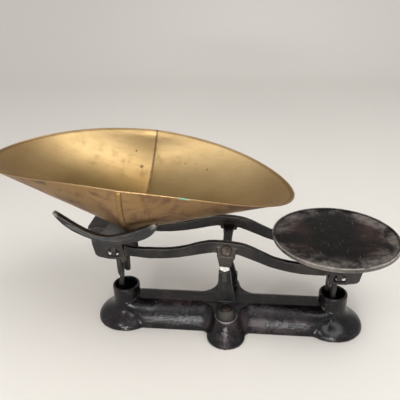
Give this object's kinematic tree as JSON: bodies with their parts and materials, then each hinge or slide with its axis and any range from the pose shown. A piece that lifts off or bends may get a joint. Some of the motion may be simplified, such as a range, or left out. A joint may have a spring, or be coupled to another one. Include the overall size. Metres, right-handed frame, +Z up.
{
  "type": "counter weighing scale",
  "caption": "Even-balance counter scale: an iron base and beam on knife edges, a sheet-brass scoop on a cradle at one end and a round weight plate at the other.",
  "frame": {"origin": "on the rest surface, under the middle knife edge of the beam", "axes": "+X along the beam towards the weight plate, +Y to the back, +Z up"},
  "size_m": [0.485, 0.2046, 0.23],
  "materials": {
    "base_iron": "black japanned casting, worn",
    "post_iron": "black japanned casting, satin",
    "beam_iron": "black japanned casting, worn at the lugs",
    "cradle_iron": "black japanned casting, worn",
    "plate_iron": "black japanned casting, scratched",
    "bearing_steel": "hardened and ground",
    "screw_steel": "dulled steel",
    "link_steel": "darkened steel strip",
    "scoop_brass": "tarnished sheet brass"
  },
  "bodies": {
    "base": {"base": "base_iron", "front_post": "post_iron", "rear_post": "post_iron", "post_bearings": "bearing_steel", "post_screws": "screw_steel", "check_pin": "screw_steel"},
    "beam": {"beam": "beam_iron", "knife_holders": "beam_iron", "centre_knives": "bearing_steel", "knife_screws": "screw_steel", "end_knives": "bearing_steel"},
    "scoop_carrier": {"scoop_cradle": "cradle_iron", "cradle_bearings": "bearing_steel", "cradle_leg": "link_steel", "cradle_leg_rivet": "screw_steel", "cradle_foot_pin": "screw_steel"},
    "plate_carrier": {"plate_bracket": "cradle_iron", "plate_bearings": "bearing_steel", "plate_leg": "link_steel", "plate_leg_rivet": "screw_steel", "plate_foot_pin": "screw_steel", "weight_plate": "plate_iron", "plate_screw": "screw_steel"},
    "check_rod": {"check_rod": "link_steel"},
    "scoop": {"scoop_left": "scoop_brass", "scoop_right": "scoop_brass", "scoop_seam": "scoop_brass"}
  },
  "joints": [
    {"name": "beam_tilt", "type": "hinge", "parent": "base", "child": "beam", "pos_m": [0, 0, 0.094], "axis": [0, -1, 0], "range_deg": [0, 9]},
    {"name": "scoop_platform", "type": "hinge", "parent": "beam", "child": "scoop_carrier", "pos_m": [-0.13823, 0, 0.10308], "axis": [0, -1, 0], "range_deg": [-9, 0]},
    {"name": "plate_platform", "type": "hinge", "parent": "beam", "child": "plate_carrier", "pos_m": [0.13771, 0, 0.07894], "axis": [0, -1, 0], "range_deg": [-9, 0]},
    {"name": "check_rod_swing", "type": "hinge", "parent": "base", "child": "check_rod", "pos_m": [0, 0, 0.022], "axis": [0, -1, 0], "range_deg": [0, 9]},
    {"name": "scoop_lift", "type": "slide", "parent": "scoop_carrier", "child": "scoop", "axis": [0, 0, 1], "range_m": [0, 0.15]}
  ],
  "couplings": [
    {"joint": "scoop_platform", "follows": "beam_tilt", "ratio": -1},
    {"joint": "plate_platform", "follows": "beam_tilt", "ratio": -1},
    {"joint": "check_rod_swing", "follows": "beam_tilt", "ratio": 1}
  ]
}
